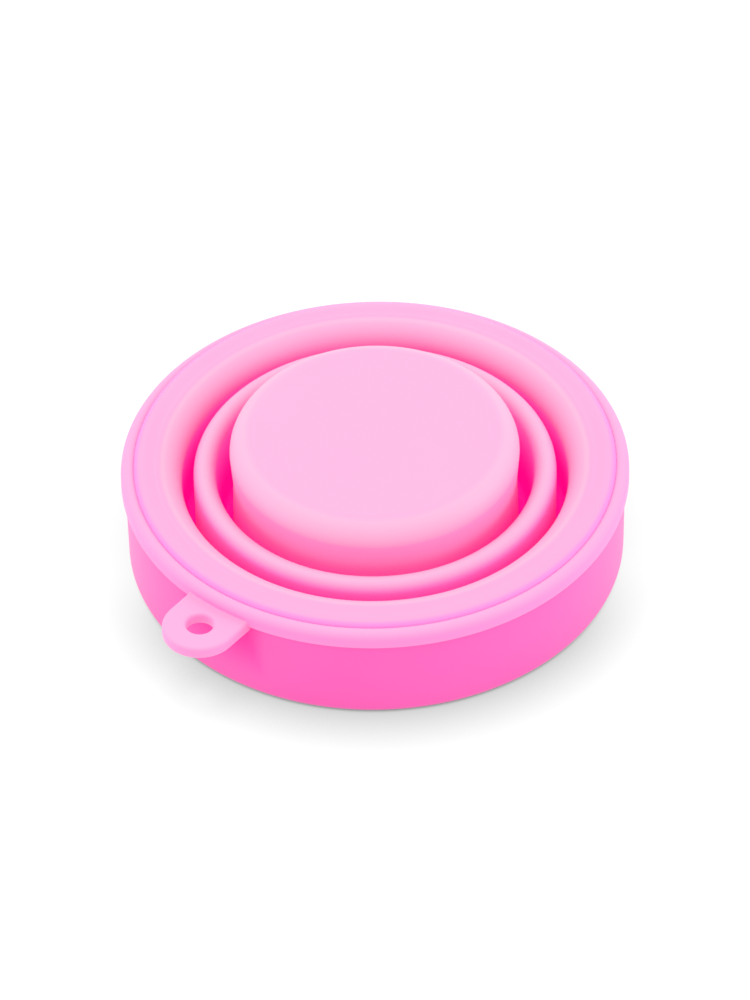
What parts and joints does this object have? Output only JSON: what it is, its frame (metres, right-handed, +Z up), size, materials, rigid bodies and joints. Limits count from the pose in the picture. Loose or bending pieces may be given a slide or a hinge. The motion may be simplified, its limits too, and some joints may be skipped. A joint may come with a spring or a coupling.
{
  "type": "collapsible washing cup with lid",
  "caption": "Small collapsible silicone washing cup, folded flat and stored base up in its deep silicone lid, with a keyring tab on the lid.",
  "frame": {"origin": "centre of the lid's flat face, which lies on the table", "axes": "+Z up along the turning axis towards the cup's base; the lid's keyring tab points along -Y"},
  "size_m": [0.088, 0.0991, 0.0261],
  "materials": {
    "lid_silicone": "satin",
    "cup_silicone": "satin",
    "fold_silicone": "satin"
  },
  "bodies": {
    "lid": {"lid_shell": "lid_silicone"},
    "tab": {"lid_tab": "lid_silicone"},
    "rim": {"cup_rim": "cup_silicone", "outer_fold": "fold_silicone"},
    "ring": {"middle_ring": "cup_silicone", "inner_fold": "fold_silicone"},
    "base": {"base_cup": "cup_silicone"}
  },
  "joints": [
    {"name": "cup_lift", "type": "slide", "parent": "lid", "child": "rim", "axis": [0, 0, 1], "range_m": [0, 0.04]},
    {"name": "ring_slide", "type": "slide", "parent": "rim", "child": "ring", "axis": [0, 0, 1], "range_m": [0, 0.027], "deforming": ["outer_fold"]},
    {"name": "base_slide", "type": "slide", "parent": "ring", "child": "base", "axis": [0, 0, 1], "range_m": [0, 0.027], "deforming": ["inner_fold"]},
    {"name": "tab_flex", "type": "hinge", "parent": "lid", "child": "tab", "pos_m": [0, -0.04525, 0.01605], "axis": [1, 0, 0], "range_deg": [-30, 50], "stiffness_Nm_per_rad": 0.01}
  ]
}
